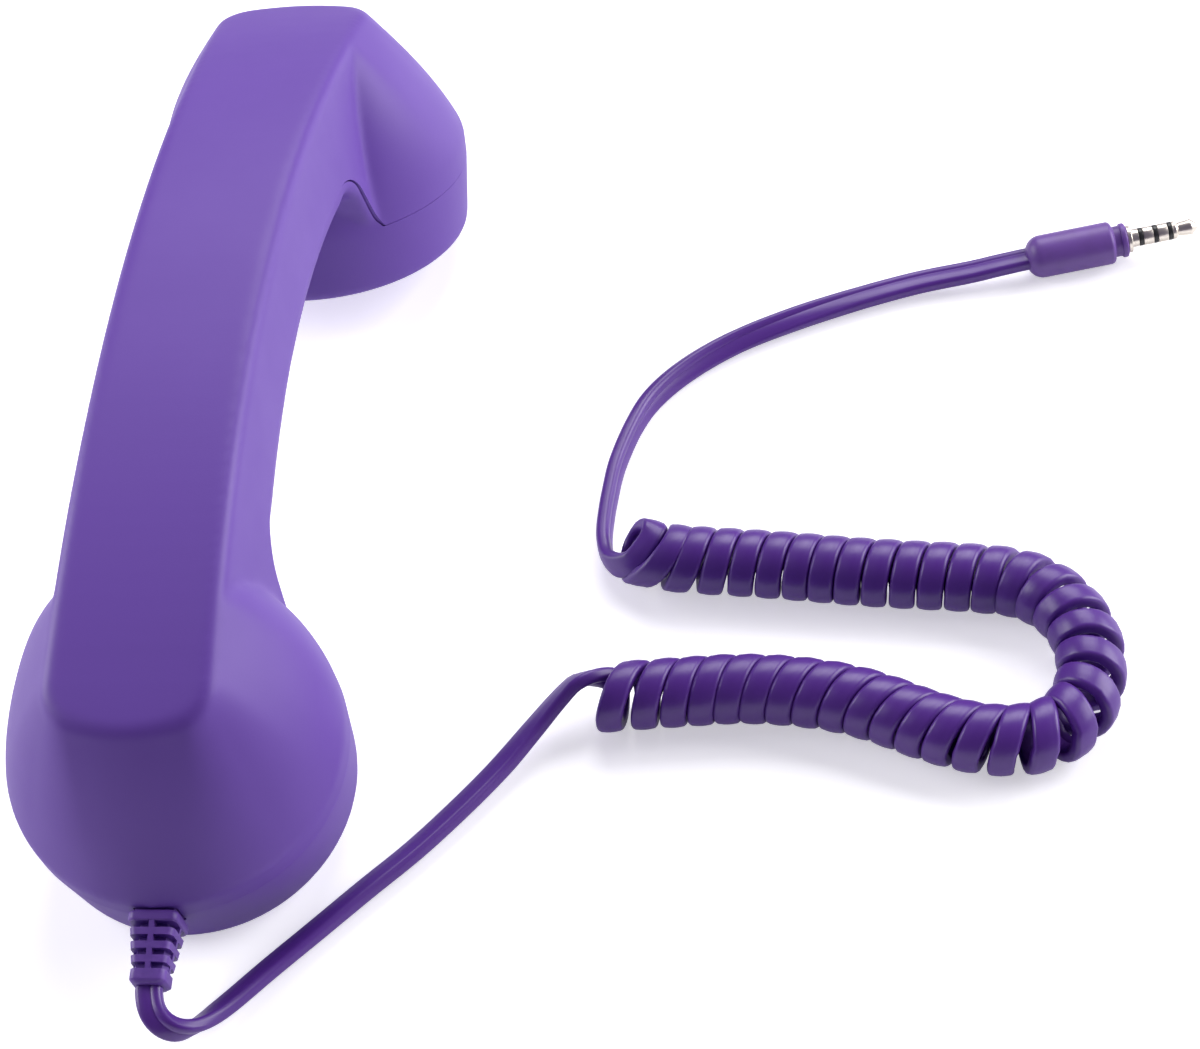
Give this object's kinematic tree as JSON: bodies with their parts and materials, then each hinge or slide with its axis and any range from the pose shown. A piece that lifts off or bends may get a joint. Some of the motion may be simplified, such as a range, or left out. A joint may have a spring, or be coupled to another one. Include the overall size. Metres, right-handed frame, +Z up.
{
  "type": "telephone handset with curly cord",
  "caption": "Arched telephone handset lying face down, with round ear and mouth cups, an answer button, and a curly cord that ends in a 3.5 mm plug.",
  "frame": {"origin": "on the surface below the middle of the handset's own bounding box, the cord left out", "axes": "+Z up, +Y towards the earpiece, +X towards the side where the cord lies"},
  "size_m": [0.2015, 0.2273, 0.0682],
  "materials": {
    "shell_plastic": "satin",
    "cover_plastic": "satin",
    "cord_plastic": "semi-gloss",
    "black_plastic": "semi-gloss",
    "bright_plating": "polished",
    "zinc_steel": "zinc plated",
    "weight_steel": "plain",
    "foam": "open cell",
    "cone_film": "thin film",
    "ferrite": "ground",
    "wire_insulation": "plain",
    "soft_rubber": "matt",
    "capsule_can": "drawn",
    "board_laminate": "satin"
  },
  "bodies": {
    "handset": {"outer_shell": "shell_plastic", "inner_shell": "shell_plastic", "earpiece_cover": "cover_plastic", "mouthpiece_cover": "cover_plastic", "switch_body": "black_plastic", "circuit_board": "board_laminate", "board_screw_ear": "zinc_steel", "board_screw_mouth": "zinc_steel", "housing_screw_ear_left": "zinc_steel", "housing_screw_ear_right": "zinc_steel", "housing_screw_mouth_left": "zinc_steel", "housing_screw_mouth_right": "zinc_steel", "weight_bar": "weight_steel", "weight_screw_ear": "zinc_steel", "weight_screw_mouth": "zinc_steel", "receiver_gasket": "foam", "receiver_frame": "weight_steel", "receiver_diaphragm": "cone_film", "receiver_magnet": "ferrite", "receiver_wires": "wire_insulation", "microphone_boot": "soft_rubber", "microphone_capsule": "capsule_can", "microphone_wires": "wire_insulation", "inner_lead": "black_plastic", "strain_relief": "cord_plastic", "cord_lead_handset": "cord_plastic", "curly_cord": "cord_plastic", "cord_lead_plug": "cord_plastic", "plug_body": "cord_plastic", "plug_sleeve": "bright_plating", "plug_insulator_1": "black_plastic", "plug_ring_rear": "bright_plating", "plug_insulator_2": "black_plastic", "plug_ring_front": "bright_plating", "plug_insulator_3": "black_plastic", "plug_tip": "bright_plating"},
    "button": {"answer_button": "cover_plastic", "switch_plunger": "black_plastic"}
  },
  "joints": [
    {"name": "answer_button_press", "type": "slide", "parent": "handset", "child": "button", "axis": [0, 0, 1], "range_m": [0, 0.0005], "stiffness_N_per_m": 1500, "springref_m": -0.0005}
  ]
}
